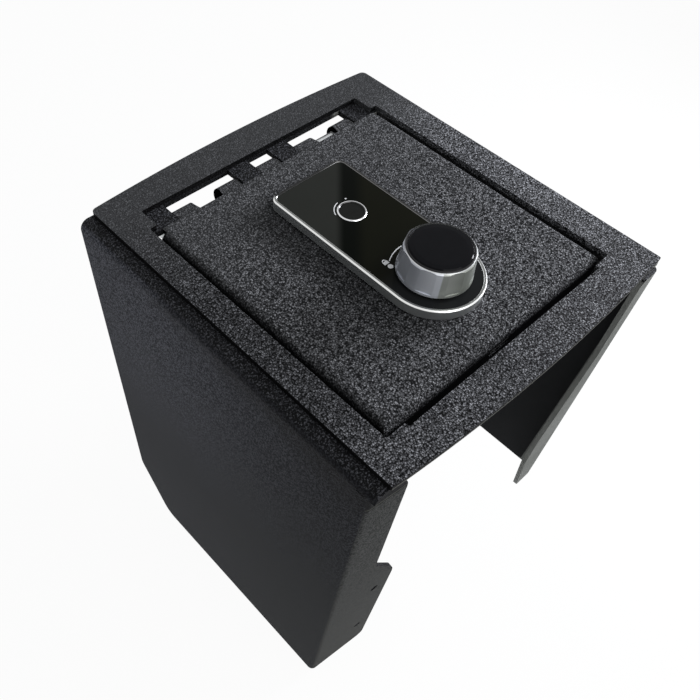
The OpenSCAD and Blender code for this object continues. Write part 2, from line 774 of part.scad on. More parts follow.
module lock_screws() color([0.7, 0.7, 0.7])
    for (s = [-1, 1], y = screw_y) translate([s * lock_screw_x, y, 0]) {
        z0 = house_z1 - house_t;
        translate([0, 0, z0]) cylinder(r = lock_screw_r, h = bezel_z + bezel_floor - z0, $fn = 24);
        translate([0, 0, z0 - lock_screw_head_h])
            cylinder(r = lock_screw_head_r, h = lock_screw_head_h, $fn = 32);
    }

// Flanged bush that carries the spindle in the lid
module spindle_bush() color([0.72, 0.62, 0.35]) translate([0, knob_y, 0]) difference() {
    union() {
        translate([0, 0, lid_z0 - bush_flange_t]) cylinder(r = bush_flange_r, h = bush_flange_t);
        translate([0, 0, lid_z0]) cylinder(r = bush_r, h = lid_t + gasket_t);
    }
    translate([0, 0, lid_z0 - 5]) cylinder(r = spindle_r + spindle_fit, h = 15);
}

// Housing for the electronics, open below, with bosses for the cover's screws
module lock_housing() color([0.08, 0.08, 0.08]) difference() {
    union() {
        difference() {
            translate([0, 0, house_z0]) linear_extrude(house_h) house_outline(0);
            translate([0, 0, house_z0 - 1]) linear_extrude(house_h - house_t + 1)
                house_outline(house_t);
        }
        for (s = [-1, 1], y = cover_screw_y) translate([s * cover_screw_x, y, house_z0])
            cylinder(r = boss_r, h = house_h - 1);
        // end walls of the battery tray, and the two ribs that hold the motor
        for (s = [0, 1]) mirror([s, 0, 0]) {
            translate([cell_l / 2 + 0.1 + contact_t, cell_y0, house_z0 + 0.3]) {
                cube([cradle_t, 3 * cell_pitch - 0.5, 12]);
                translate([0, 0, 12 - cradle_t])
                    cube([(house_w - cell_l) / 2 - contact_t - 1.5, 3 * cell_pitch - 0.5, cradle_t]);
            }
            translate([motor_w / 2, motor_y0, block_z - motor_h / 2 + 1])
                cube([cradle_t, 5, house_z1 - block_z + motor_h / 2 - 2]);
        }
    }
    lock_screw_holes(house_z1 - 5, house_z1 + 1);
    translate([-wire_hole[0] / 2, wire_y - wire_hole[1] / 2, house_z1 - 4])
        cube([wire_hole[0], wire_hole[1], 6]);
    for (s = [-1, 1], y = cover_screw_y) translate([s * cover_screw_x, y, house_z0 - 1])
        cylinder(r = cover_screw_r, h = 9, $fn = 24);
    translate([0, house_y0 + 4, block_z]) rotate([90, 0, 0]) cylinder(r = block_r + block_fit, h = 6);
}
module house_outline(inset) {
    w = house_w / 2 - inset;
    r = 4 - inset;
    polygon(rounded(
        [
            [-w, house_y0 + inset], [w, house_y0 + inset],
            [w, house_y0 + house_l - inset], [-w, house_y0 + house_l - inset]
        ],
        [r, r, r, r]
    ));
}
module housing_cover() color([0.09, 0.09, 0.09]) difference() {
    translate([0, 0, house_z0 - cover_t]) linear_extrude(cover_t) house_outline(0);
    for (s = [-1, 1], y = cover_screw_y) translate([s * cover_screw_x, y, house_z0 - cover_t - 1])
        cylinder(r = cover_screw_r + screw_gap, h = cover_t + 2, $fn = 24);
    for (i = [-2:2]) translate([-12, house_y0 + house_l / 2 + i * 4 - 0.6, house_z0 - cover_t - 1])
        cube([24, 1.2, 1.6]);
}
module cover_screws() color([0.7, 0.7, 0.7])
    for (s = [-1, 1], y = cover_screw_y) translate([s * cover_screw_x, y, house_z0 - cover_t]) {
        cylinder(r = cover_screw_r, h = cover_t + 7, $fn = 24);
        translate([0, 0, -1.2]) cylinder(r = cover_head_r, h = 1.2, $fn = 32);
    }
module circuit_board() color([0.05, 0.3, 0.15]) {
    bw = house_w - 2 * house_t - 2 * boss_r - 8;
    translate([-bw / 2, board_y0, board_z1 - board_t])
        cube([bw, board_y1 - board_y0, board_t]);
    for (s = [-1, 1]) translate([s * 24, board_y0 + 8, board_z1 - board_t / 2])
        cylinder(r = 2, h = house_z1 - house_t - board_z1 + board_t / 2);
}
module battery_cells() color([0.2, 0.25, 0.4])
    for (i = [0:2]) translate([-cell_l / 2, cell_y0 + cell_d / 2 + i * cell_pitch, cell_z])
        rotate([0, 90, 0]) {
            cylinder(d = cell_d, h = cell_l - 1);
            translate([0, 0, cell_l - 1]) cylinder(d = 3.8, h = 1, $fn = 32);
        }
module battery_contacts() color([0.8, 0.8, 0.78])
    for (s = [-1, 1]) translate([s > 0 ? cell_l / 2 + 0.1 : -cell_l / 2 - 0.1 - contact_t, cell_y0, 0])
        translate([0, 0, house_z0 + 0.4])
            cube([contact_t, 3 * cell_pitch - 0.5, cell_d]);

module block_motor() color([0.6, 0.6, 0.58])
    translate([-motor_w / 2, motor_y0, block_z - motor_h / 2])
        cube([motor_w, house_y0 + 14.6 - motor_y0, motor_h]);
module blocking_pin() color([0.75, 0.75, 0.74]) {
    translate([0, block_y0 + block_l, block_z]) rotate([90, 0, 0]) cylinder(r = block_r, h = block_l);
    translate([0, block_y0 + block_l, block_z]) rotate([90, 0, 0]) cylinder(r = block_r + 1, h = 1);
}

// The knob: a tapering body with grip flats, bevelled at the top, with a recess for its cap
module knob_body() color([0.7, 0.71, 0.73]) translate([0, knob_y, 0]) {
    lean = atan((knob_d - knob_top_d) / 2 / (knob_h - knob_bevel));
    z1 = knob_z1 - knob_bevel;
    difference() {
        rotate_extrude($fn = 96) polygon([
            [0, knob_z], [knob_d / 2 - 0.5, knob_z], [knob_d / 2, knob_z + 0.5],
            [knob_top_d / 2, z1], [cap_d / 2 + 0.5, knob_z1], [0, knob_z1]
        ]);
        for (i = [0:knob_flats - 1]) rotate([0, 0, (i + 0.5) * 360 / knob_flats])
            translate([knob_top_d / 2 - flat_cut, -10, z1]) rotate([0, -lean, 0])
                translate([0, 0, flat_foot - z1 + knob_z]) cube([10, 20, far]);
        translate([0, 0, knob_z1 - cap_recess]) cylinder(r = cap_d / 2, h = 5, $fn = 96);
        translate([0, 0, knob_z - 1]) cylinder(r = spindle_r, h = spindle_top - knob_z + 1);
    }
}
module knob_cap() color([0.02, 0.02, 0.02]) translate([0, knob_y, knob_z1 - cap_recess]) {
    h = cap_recess + cap_proud;
    rotate_extrude($fn = 96) polygon([
        [0, 0], [cap_d / 2 - 0.1, 0], [cap_d / 2 - 0.1, h - 0.7],
        [cap_d / 2 - 0.8, h - 0.15], [cap_d / 2 - 3, h], [0, h]
    ]);
}
module knob_spindle() color([0.75, 0.75, 0.74]) translate([0, knob_y, spindle_z0])
    cylinder(r = spindle_r, h = spindle_top - spindle_z0);

// Centre line of a cam slot: the wheel turns under a follower that only slides
function cam_point(a, t) =
    let (turn = knob_turn * t, r = follower_in + bolt_travel * t)
    r * [cos(a - turn), sin(a - turn)];
function cam_normal(a, t) = let (d = cam_point(a, t + 0.01) - cam_point(a, t - 0.01))
    unit([-d[1], d[0]]);
function cam_cap(p, n, s) = [for (i = [1:7]) p + cam_slot_r * s
    * [n[0] * cos(i * 22.5) + n[1] * sin(i * 22.5), n[1] * cos(i * 22.5) - n[0] * sin(i * 22.5)]];
module cam_slot(a, steps = 24)
    polygon(concat(
        [for (i = [0:steps]) cam_point(a, i / steps) + cam_slot_r * cam_normal(a, i / steps)],
        cam_cap(cam_point(a, 1), cam_normal(a, 1), 1),
        [for (i = [steps:-1:0]) cam_point(a, i / steps) - cam_slot_r * cam_normal(a, i / steps)],
        cam_cap(cam_point(a, 0), cam_normal(a, 0), -1)
    ));

module cam_wheel() color([0.72, 0.72, 0.7])
    translate([0, knob_y, wheel_z0]) linear_extrude(wheel_t) difference() {
        circle(wheel_r, $fn = 128);
        circle(spindle_r);
        for (a = [0, 180, 270]) cam_slot(a);
        // two notches that take the blocking pin, unlocked and locked
        for (a = [90, 90 - knob_turn]) rotate(a) translate([wheel_r - notch_d, -notch_w / 2])
            square([notch_d + 2, notch_w]);
        // lightening hole in the plain quarter
        rotate(135) translate([wheel_r * 0.62, 0]) circle(4.5);
    }
module spindle_nut() color([0.75, 0.75, 0.72]) translate([0, knob_y, wheel_z0 - nut_h]) difference() {
    cylinder(r = nut_r, h = nut_h, $fn = 6);
    translate([0, 0, -1]) cylinder(r = spindle_r, h = nut_h + 2);
}

// A bolt drawn along +X from the spindle, with a bevelled tip
module bolt_bar(length) {
    difference() {
        extrude_y(-bolt_w / 2, bolt_w / 2) polygon([
            [bolt_in, bolt_z0], [length - bolt_tip_bevel, bolt_z0], [length, bolt_z0 + bolt_tip_bevel],
            [length, bolt_z1], [bolt_in, bolt_z1]
        ]);
        translate([follower_in, 0, bolt_z0 - 1]) cylinder(r = follower_r, h = bolt_t + 2);
    }
}
side_bolt_l = lid_w / 2 - bolt_tip_in;
front_bolt_l = knob_y - lid_y0 - bolt_tip_in;
module place_bolt(a) translate([0, knob_y, 0]) rotate([0, 0, a]) children();
module bolt_left() color([0.74, 0.75, 0.74]) place_bolt(180) bolt_bar(side_bolt_l);
module bolt_right() color([0.74, 0.75, 0.74]) place_bolt(0) bolt_bar(side_bolt_l);
module bolt_front() color([0.74, 0.75, 0.74]) place_bolt(270) bolt_bar(front_bolt_l);
module follower(a) color([0.6, 0.6, 0.58]) place_bolt(a)
    translate([follower_in, 0, follower_z0]) cylinder(r = follower_r, h = bolt_z1 - follower_z0);

// A block under the lid with the slot that a bolt slides in
module bolt_guide(x0, length) color([0.55, 0.55, 0.54]) {
    g = slide_gap;
    w = bolt_w / 2 + g + guide_wall;
    extrude_x(x0, x0 + length) difference() {
        translate([-w, bolt_z0 - g - guide_wall]) square([2 * w, lid_z0 - bolt_z0 + g + guide_wall]);
        translate([-bolt_w / 2 - g, bolt_z0 - g]) square([bolt_w + 2 * g, bolt_t + 2 * g]);
    }
}

shell();
frame_plate();
hinge_ear(-tongue_end_x);  // hinge_ear_left
hinge_ear(-tongue_mid_x);  // hinge_ear_mid_left
hinge_ear(tongue_mid_x);  // hinge_ear_mid_right
hinge_ear(tongue_end_x);  // hinge_ear_right
hinge_pin(-pin_out, -pin_left_end, false);  // hinge_pin_left
hinge_pin(-pin_right_end, pin_out, true);  // hinge_pin_right
lid_rest(-1);  // lid_rest_left
lid_rest(1);  // lid_rest_right
lid_bumpers();
lid_panel();
lock_gasket();
lock_bezel();
lock_glass();
sensor_ring();
sensor_pad();
lock_screws();
spindle_bush();
lock_housing();
housing_cover();
cover_screws();
circuit_board();
battery_cells();
battery_contacts();
block_motor();
blocking_pin();
knob_body();
knob_cap();
knob_spindle();
cam_wheel();
spindle_nut();
bolt_left();
bolt_right();
bolt_front();
follower(180);  // follower_left
follower(0);  // follower_right
follower(270);  // follower_front
place_bolt(180) bolt_guide(side_guide_x, guide_l);  // bolt_guide_left
place_bolt(0) bolt_guide(side_guide_x, guide_l);  // bolt_guide_right
place_bolt(270) bolt_guide(front_guide_x, front_guide_l);  // bolt_guide_front
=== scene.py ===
import math

import bmesh
import bpy
from mathutils import Matrix, Vector


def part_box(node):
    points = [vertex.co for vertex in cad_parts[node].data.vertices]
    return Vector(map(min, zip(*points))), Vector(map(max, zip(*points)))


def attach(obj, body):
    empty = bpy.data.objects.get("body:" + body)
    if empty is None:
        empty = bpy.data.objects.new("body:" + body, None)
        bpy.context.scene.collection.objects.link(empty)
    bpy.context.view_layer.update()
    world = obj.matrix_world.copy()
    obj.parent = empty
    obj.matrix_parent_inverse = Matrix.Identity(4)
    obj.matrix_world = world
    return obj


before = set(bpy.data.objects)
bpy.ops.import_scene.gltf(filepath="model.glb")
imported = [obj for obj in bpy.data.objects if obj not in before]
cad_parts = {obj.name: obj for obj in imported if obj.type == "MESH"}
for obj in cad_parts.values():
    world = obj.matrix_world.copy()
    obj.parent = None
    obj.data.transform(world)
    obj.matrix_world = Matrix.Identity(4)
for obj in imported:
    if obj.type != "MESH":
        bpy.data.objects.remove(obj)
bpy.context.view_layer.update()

# Studio. The safe stands on a white floor in a white room, seen from above its
# front left corner. One lamp stands low on its right, so the raised lock throws
# its shade to the left, where the lid coat also carries a painted shadow of the
# lock, and a wide soft lamp hangs over the front.
lens_right = Vector((0.7377547, -0.6738165, 0.0410999))
lens_up = Vector((0.5530826, 0.6382278, 0.5355043))
lens_back = Vector((-0.3870627, -0.3723392, 0.8435318))
lens_place = Vector((-0.2095315, -0.1483629, 0.5143163))
lens = bpy.data.cameras.new("photo_lens")
lens.sensor_width = 36.0
lens.lens = 35.326
lens.shift_x = 0.0980
lens.shift_y = 0.1045
lens.clip_start = 0.01
camera = bpy.data.objects.new("photo_camera", lens)
bpy.context.scene.collection.objects.link(camera)
camera.matrix_world = Matrix.Translation(lens_place) @ Matrix(
    (lens_right, lens_up, lens_back)
).transposed().to_4x4()
bpy.context.scene.camera = camera
bpy.context.scene.view_settings.view_transform = "Standard"


class Wire:
    """A value that runs through a finish's nodes. Sums with it add the nodes."""

    def __init__(self, tree, socket=None):
        self.tree = tree
        self.socket = socket

    def node(self, kind, settings=(), values=(), out=0):
        """Adds any node: its settings first, then its values and links."""
        made = self.tree.nodes.new(kind)
        for name, value in dict(settings).items():
            setattr(made, name, value)
        for name, value in dict(values).items():
            if isinstance(value, Wire):
                self.tree.links.new(value.socket, made.inputs[name])
            else:
                made.inputs[name].default_value = value
        return Wire(self.tree, made.outputs[out])

    def maths(self, operation, first, second=0.0):
        return self.node("ShaderNodeMath", {"operation": operation}, {0: first, 1: second})

    def __add__(self, other):
        return self.maths("ADD", self, other)

    __radd__ = __add__

    def __sub__(self, other):
        return self.maths("SUBTRACT", self, other)

    def __rsub__(self, other):
        return self.maths("SUBTRACT", other, self)

    def __mul__(self, other):
        return self.maths("MULTIPLY", self, other)

    __rmul__ = __mul__

    def __abs__(self):
        return self.maths("ABSOLUTE", self)

    def larger(self, other):
        return self.maths("MAXIMUM", self, other)

    def fade(self, start, stop, low=0.0, high=1.0):
        """Runs smoothly from low at start to high at stop."""
        return self.node(
            "ShaderNodeMapRange",
            {"interpolation_type": "SMOOTHSTEP", "clamp": True},
            {0: self, 1: start, 2: stop, 3: low, 4: high},
        )

    def paint(self, low, high):
        """A colour between low and high, with this value as the share of high."""
        pick = {0: self}
        for key, colour in ((6, low), (7, high)):
            pick[key] = colour if isinstance(colour, Wire) else (*colour, 1.0)
        return self.node("ShaderNodeMix", {"data_type": "RGBA", "clamp_factor": True}, pick, 2)

    def grain(self, size, detail=2.0, rough=0.5, stretch=None, bend=0.0):
        """Grain of about this size in metres, from this place."""
        place = self
        if stretch:
            place = self.node("ShaderNodeMapping", {}, {"Vector": self, "Scale": stretch})
        return place.node(
            "ShaderNodeTexNoise",
            {},
            {"Vector": place, "Scale": 1.0 / size, "Detail": detail, "Roughness": rough,
             "Distortion": bend},
        )

    def cells(self, size, bend):
        """Raised cells of about this size: 1 at their tops, 0 in the cracks, and a chance value."""
        drift = {"Vector": self, "Scale": 0.6 / size, "Detail": 2.0}
        shift = self.node("ShaderNodeTexNoise", {}, drift, "Color")
        shift = shift.node("ShaderNodeVectorMath", {"operation": "SUBTRACT"}, {0: shift, 1: (0.5, 0.5, 0.5)})
        moved = self.node("ShaderNodeVectorMath", {"operation": "MULTIPLY_ADD"},
                          {0: shift, 1: (bend, bend, bend), 2: self})
        values = {"Vector": moved, "Scale": 1.0 / size}
        away = self.node("ShaderNodeTexVoronoi", {}, values, "Distance")
        chance = self.node("ShaderNodeTexVoronoi", {}, values, "Color").along(0)
        return away.fade(0.80, 0.12), chance

    def along(self, axis):
        return self.node("ShaderNodeSeparateXYZ", {}, {0: self}, axis)

    def facing(self):
        """The way that the surface faces, in the same finish."""
        return self.node("ShaderNodeTexCoord", out="Normal")

    def away_from(self, axis):
        """How far this place is from an upright axis."""
        east = self.along(0) - axis.x
        north = self.along(1) - axis.y
        return self.maths("SQRT", east * east + north * north)

    def bump(self, depth, strength=1.0):
        """Raised and sunk by this value, over depth in metres."""
        return self.node(
            "ShaderNodeBump", {}, {"Strength": strength, "Distance": depth, "Height": self}
        )


def white_to_eye(tree, white, lit, keep):
    """White to the camera and to shiny parts; keep is the share of real light left."""
    bare = Wire(tree)
    eye = bare.node("ShaderNodeLightPath", out="Is Camera Ray")
    shine = bare.node("ShaderNodeLightPath", out="Is Glossy Ray")
    through = bare.node("ShaderNodeLightPath", out="Is Transmission Ray")
    share = eye.larger(shine).larger(through) * (1.0 - keep)
    return share.node("ShaderNodeMixShader", {}, {0: share, 1: lit, 2: white})


floor_reach = 6.0
floor_drop = 0.0005
floor_corners = [(x * floor_reach, y * floor_reach, 0.0) for x, y in ((-1, -1), (1, -1), (1, 1), (-1, 1))]
floor_mesh = bpy.data.meshes.new("studio_floor")
floor_mesh.from_pydata(floor_corners, [], [(0, 1, 2, 3)])
floor = bpy.data.objects.new("studio_floor", floor_mesh)
bpy.context.scene.collection.objects.link(floor)
floor.location.z = -floor_drop
floor_paint = bpy.data.materials.new("studio_floor_paint")
floor_paint.use_nodes = True
tree = floor_paint.node_tree
bare = Wire(tree)
lit = bare.node("ShaderNodeBsdfDiffuse", {}, {"Color": (0.8, 0.8, 0.8, 1.0)})
white = bare.node("ShaderNodeEmission", {}, {"Strength": 1.0})
seen = white_to_eye(tree, white, lit, 0.05)
tree.links.new(seen.socket, tree.nodes["Material Output"].inputs["Surface"])
floor_mesh.materials.append(floor_paint)

room = bpy.data.worlds.new("studio_room")
room.use_nodes = True
bpy.context.scene.world = room
tree = room.node_tree
bare = Wire(tree)
lit = bare.node("ShaderNodeBackground", {}, {"Color": (0.97, 0.99, 1.0, 1.0), "Strength": 0.40})
white = bare.node("ShaderNodeBackground", {}, {"Strength": 1.0})
seen = white_to_eye(tree, white, lit, 0.0)
tree.links.new(seen.socket, tree.nodes["World Output"].inputs["Surface"])


def hang_lamp(name, place, aim, width, height, watts, tint):
    """A flat soft lamp at place that shines towards aim."""
    light = bpy.data.lights.new(name, "AREA")
    light.shape = "RECTANGLE"
    light.size = width
    light.size_y = height
    light.energy = watts
    light.color = tint
    lamp = bpy.data.objects.new(name, light)
    bpy.context.scene.collection.objects.link(lamp)
    lamp.location = place
    lamp.rotation_euler = (Vector(aim) - Vector(place)).to_track_quat("-Z", "Y").to_euler()


hang_lamp("lamp_low_right", (0.72, -0.16, 0.50), aim=(0.0, -0.02, 0.286),
          width=0.30, height=0.22, watts=8.0, tint=(0.93, 0.95, 1.0))
hang_lamp("lamp_over_front", (0.15, -0.9, 1.25), aim=(0.0, 0.0, 0.2),
          width=0.9, height=0.7, watts=6.0, tint=(1.0, 1.0, 1.0))

# Shell. One sheet of 2.8 mm steel, folded down over both sides and at the back,
# and in at both front edges for the flanges. Wrinkle powder coat covers it; it
# flowed out smoother on upright faces. Its right flange is painted pale, as a
# painted highlight.


def new_finish(name):
    """A finish, and the place on the object of the surface it lies on."""
    made = bpy.data.materials.new(name)
    made.use_nodes = True
    return made, Wire(made.node_tree).node("ShaderNodeTexCoord", out="Object")


def lay_on(finish, colour, rough, normal, metal=0.0, gloss=0.5):
    """Puts colour, roughness and bump on the finish's own shader."""
    tree = finish.node_tree
    shader = tree.nodes["Principled BSDF"]
    values = {"Base Color": colour, "Roughness": rough, "Metallic": metal,
              "Specular IOR Level": gloss, "Normal": normal}
    for name, value in values.items():
        if isinstance(value, Wire):
            tree.links.new(value.socket, shader.inputs[name])
        else:
            shader.inputs[name].default_value = value


def coat_with(finish, *names):
    """Gives whole CAD pieces this finish."""
    for name in names:
        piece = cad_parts[name]
        piece.data.materials.clear()
        piece.data.materials.append(finish)


safe_black, place = new_finish("wrinkle_coat_shell")
facing = place.facing()
across, deep, high = place.along(0), place.along(1), place.along(2)
face_x, face_y, face_z = facing.along(0), facing.along(1), facing.along(2)
upward = face_z.fade(0.25, 0.8)
outside_left = face_x.fade(-0.55, -0.85) * across.fade(-0.0975, -0.0985)
flange_front = face_y.fade(-0.6, -0.9) * across.fade(-0.04, -0.05)
right_strip = face_y.fade(-0.6, -0.9) * across.fade(0.055, 0.060)
right_edge = face_x.fade(-0.5, -0.8) * across.fade(0.055, 0.060) * deep.fade(-0.0956, -0.0962)
inside = face_x.fade(-0.6, -0.9) * across.fade(0.085, 0.095)
wrinkle = place.grain(0.00085, 3.0, 0.70, bend=0.4)
pit = place.grain(0.0042, 2.0, 0.5)
cloud = place.grain(0.035, 3.0, 0.55)
patchy = cloud.fade(0.3, 0.7)
# Pale specks, partly the coat's own grain and partly painted highlight, brightest on faces turned up.
speck = wrinkle.fade(0.48, 0.68) * (0.25 + 0.75 * upward)
coat = speck.paint((0.0060, 0.0062, 0.0068), (0.120, 0.123, 0.138))

# The left wall is painted paler towards its back and higher up, as painted light,
# rougher higher up, and darkest at the fold, as painted shade.
near_fold = (high + cloud * 0.02 - deep * 0.13).fade(0.272, 0.300)
far_back = deep.fade(-0.09, 0.10) * (0.30 + 0.70 * high.fade(0.10, 0.26))
wall_coat = patchy.paint((0.0290, 0.0305, 0.0325), (0.0325, 0.0340, 0.0365))
wall_coat = far_back.paint(wall_coat, (0.072, 0.074, 0.086))
rough_front = wrinkle.fade(0.44, 0.60).paint((0.008, 0.009, 0.011), (0.052, 0.053, 0.060))
rough_far = wrinkle.fade(0.44, 0.60).paint((0.018, 0.019, 0.024), (0.150, 0.154, 0.178))
rough_zone = (high + cloud * 0.05).fade(0.15, 0.28)
wall_coat = rough_zone.paint(wall_coat, deep.fade(-0.09, 0.075).paint(rough_front, rough_far))
fold_shade_coat = wrinkle.fade(0.40, 0.64).paint((0.003, 0.003, 0.004), (0.030, 0.031, 0.036))
coat = outside_left.paint(coat, near_fold.paint(wall_coat, fold_shade_coat))

# The left flange has a seam 20 mm below the top, with a dark line under it and a
# painted highlight along the edge over it. The flange is painted paler higher up,
# as painted light.
seam_height = 0.2662
up_flange = high.fade(0.02, 0.26)
front_coat = up_flange.paint((0.062, 0.063, 0.061), (0.075, 0.077, 0.076))
stroke = place.grain(0.0012, 3.0, 0.65, stretch=(1.0, 1.0, 0.8), bend=0.5)
stroke = (stroke * 0.4 + wrinkle * 0.6).fade(0.56, 0.44)
front_coat = (stroke * (0.25 + 0.65 * up_flange)).paint(front_coat, (0.007, 0.008, 0.008))
over_seam = high - seam_height
front_coat = over_seam.fade(-0.0012, -0.0007).paint(front_coat, (0.005, 0.005, 0.005))
# Painted highlight along the edge over the seam.
seam_highlight = over_seam.fade(0.0007, 0.0010).paint((0.080, 0.083, 0.072), coat)
front_coat = over_seam.fade(-0.0001, 0.0002).paint(front_coat, seam_highlight)
coat = flange_front.paint(coat, front_coat)

coat = inside.paint(coat, patchy.paint((0.0240, 0.0250, 0.0265), (0.0280, 0.0290, 0.0305)))
# Painted highlight: the right flange's front face and the front end of the right wall's inner face are
# painted pale.
coat = right_strip.paint(coat, patchy.paint((0.16, 0.165, 0.155), (0.20, 0.205, 0.195)))
coat = right_edge.paint(coat, patchy.paint((0.22, 0.227, 0.213), (0.27, 0.277, 0.262)))
smooth = (outside_left * (1.0 - 0.7 * near_fold)).larger(flange_front * 0.8)
smooth = smooth.larger(right_strip).larger(inside)
relief = (wrinkle * 0.9 + pit * 0.4) * (1.0 - 0.9 * smooth)
lay_on(
    safe_black,
    coat,
    smooth.fade(0.0, 1.0, 0.52, 0.66) + cloud * 0.06,
    relief.bump(0.0013),
    gloss=0.05,
)
coat_with(safe_black, "shell")

# Frame plate. A flat steel plate, laser cut with the lid opening and spot welded
# on the shell. Its wrinkle coat is coarse, with pale specks on the tops of the
# wrinkles, partly its own grain and partly painted highlight. The coat is painted
# lighter on its right and front right, as painted light, and darker along its
# left and back, as painted shade; its front edge carries a thin painted highlight.


def coarse_wrinkles(place):
    """A coarse wrinkle coat: its lumps, a chance value for each, its relief and its clouds."""
    lump, chance = place.cells(0.00086, 0.0010)
    relief = lump * 0.8 + place.grain(0.0005, 2.0, 0.6) * 0.5
    return lump, chance, relief, place.grain(0.04, 3.0, 0.55)


plate_low, plate_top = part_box("frame_plate")
plate_middle = (plate_low.z + plate_top.z) / 2
plate_black, place = new_finish("wrinkle_coat_plate")
facing = place.facing()
across, deep, high = place.along(0), place.along(1), place.along(2)
# Painted light: the right inner edge takes the top's pale specks.
inner_right = facing.along(0).fade(-0.5, -0.8) * across.fade(0.060, 0.065)
upward = facing.along(2).fade(0.3, 0.9).larger(inner_right)
lump, chance, relief, cloud = coarse_wrinkles(place)
calm = deep.fade(0.02, 0.10) * 0.60
# Pale specks, partly the coat's grain and partly painted highlight, brightest on faces turned up.
speck = lump * (0.20 + 0.80 * chance * chance) * (0.05 + 0.95 * upward) * (0.78 + 0.44 * cloud)
# Painted light: the specks are paler on the right and along the front towards the right.
lit_side = across.fade(0.07, 0.085) * deep.fade(0.085, 0.03) * deep.fade(-0.09, -0.06)
lit_side = lit_side.larger(across.fade(-0.02, 0.08) * deep.fade(-0.078, -0.086) * 0.35)
coat = speck.paint((0.0040, 0.0040, 0.0044), lit_side.paint((0.378, 0.384, 0.412), (0.53, 0.54, 0.58)))
coat = (calm * upward).paint(coat, (0.092, 0.094, 0.098))
shade_black = (0.003, 0.003, 0.003)
# Painted shade: the coat is darker along the left and the back.
shade = (across.fade(-0.062, -0.080) * deep.fade(-0.09, -0.055)).larger(deep.fade(0.05, 0.09)) * 0.38
coat = shade.paint(coat, shade_black)
# Painted highlight: a thin bright line on the plate's front edge.
cut_line = facing.along(1).fade(-0.5, -0.8) * deep.fade(-0.080, -0.085)
cut_line = cut_line * high.fade(plate_middle, plate_middle - 0.0003)
coat = (cut_line * 0.9).paint(coat, (0.120, 0.120, 0.112))
lay_on(
    plate_black,
    coat,
    0.50 + cloud * 0.08,
    (relief * (1.0 - calm)).bump(0.0005),
    gloss=0.02,
)
coat_with(plate_black, "frame_plate")

# Lid rests and bumpers. Two bent steel brackets welded under the frame stop the
# closed lid; each carries a glued rubber button.
coat_with(safe_black, "lid_rest_left", "lid_rest_right")
rubber, place = new_finish("stop_rubber")
dust = place.grain(0.0006, 3.0, 0.6)
lay_on(
    rubber,
    dust.fade(0.35, 0.75).paint((0.012, 0.012, 0.012), (0.030, 0.030, 0.029)),
    0.78 + dust * 0.1,
    dust.bump(0.0001, 0.6),
    gloss=0.3,
)
coat_with(rubber, "lid_bumpers")

# Hinge. Four steel ears are welded below the tongues of the shell, with a small
# bead along each root, and two zinc plated rods run through the lid's knuckles.
coat_with(safe_black, "hinge_ear_left", "hinge_ear_mid_left", "hinge_ear_mid_right", "hinge_ear_right")
zinc, place = new_finish("zinc_plating")
spangle = place.node("ShaderNodeTexVoronoi", {}, {"Vector": place, "Scale": 700.0}, "Color").along(0)
haze = place.grain(0.004, 3.0, 0.6)
scratch = place.grain(0.0005, 2.0, 0.6, stretch=(1.0, 14.0, 14.0))
lay_on(
    zinc,
    (spangle * 0.5 + haze * 0.5).paint((0.52, 0.54, 0.55), (0.74, 0.76, 0.77)),
    haze.fade(0.3, 0.7, 0.24, 0.42),
    (scratch * 0.5 + spangle * 0.3).bump(0.00008, 0.5),
    metal=1.0,
)
coat_with(zinc, "hinge_pin_left", "hinge_pin_right")


def join_rings(form, rings):
    """Joins each ring of points to the next and closes both ends."""
    sides = len(rings[0])
    for low, up in zip(rings, rings[1:]):
        for k in range(sides):
            n = (k + 1) % sides
            form.faces.new((low[k], low[n], up[n], up[k]))
    form.faces.new(rings[0][::-1])
    form.faces.new(rings[-1])


def new_piece(name, form, finish):
    """A piece of this form and finish, put in the scene."""
    bmesh.ops.recalc_face_normals(form, faces=form.faces)
    mesh = bpy.data.meshes.new(name)
    form.to_mesh(mesh)
    form.free()
    mesh.materials.append(finish)
    piece = bpy.data.objects.new(name, mesh)
    bpy.context.scene.collection.objects.link(piece)
    return piece


def weld_bead(name, start, stop, radius, ripples):
    """A rippled bead of weld metal along a line."""
    line = stop - start
    side = line.orthogonal().normalized()
    rise = line.cross(side).normalized()
    form = bmesh.new()
    rings = []
    sides = 14
    turns = [2 * math.pi * k / sides for k in range(sides)]
    steps = ripples * 6
    for i in range(steps + 1):
        t = i / steps
        end = min(1.0, 4.0 * t, 4.0 * (1.0 - t)) ** 0.5
        r = radius * (0.25 + 0.75 * end) * (1.0 + 0.10 * math.cos(2 * math.pi * ripples * t))
        rings.append([
            form.verts.new(start + line * t + r * (math.cos(a) * side + math.sin(a) * rise))
            for a in turns
        ])
    join_rings(form, rings)
    for face in form.faces:
        face.smooth = True
    bead = new_piece(name, form, safe_black)
    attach(bead, "safe_body")


weld_sink = 0.0001
weld_start = 0.0012
weld_stop = 0.0085
weld_radius = 0.0007
for ear in ("left", "mid_left", "mid_right", "right"):
    low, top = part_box("hinge_ear_" + ear)
    inner = low.x - weld_sink if ear in ("right", "mid_right") else top.x + weld_sink
    root = Vector((inner, low.y, top.z - weld_sink))
    start = root + Vector((0.0, weld_start, 0.0))
    stop = root + Vector((0.0, weld_stop, 0.0))
    weld_bead("ear_weld_" + ear, start, stop, weld_radius, ripples=5)

# Lid. A pan pressed from 2.5 mm sheet: both sides and the front roll down, and
# three fingers at the back are rolled into hinge knuckles, with a window cut in
# each long one. The wrinkle coat thins over the rolls, so they look smoother.
lid_black, place = new_finish("wrinkle_coat_lid")
facing = place.facing()
across, deep = place.along(0), place.along(1)
face_x, face_z = facing.along(0), facing.along(2)
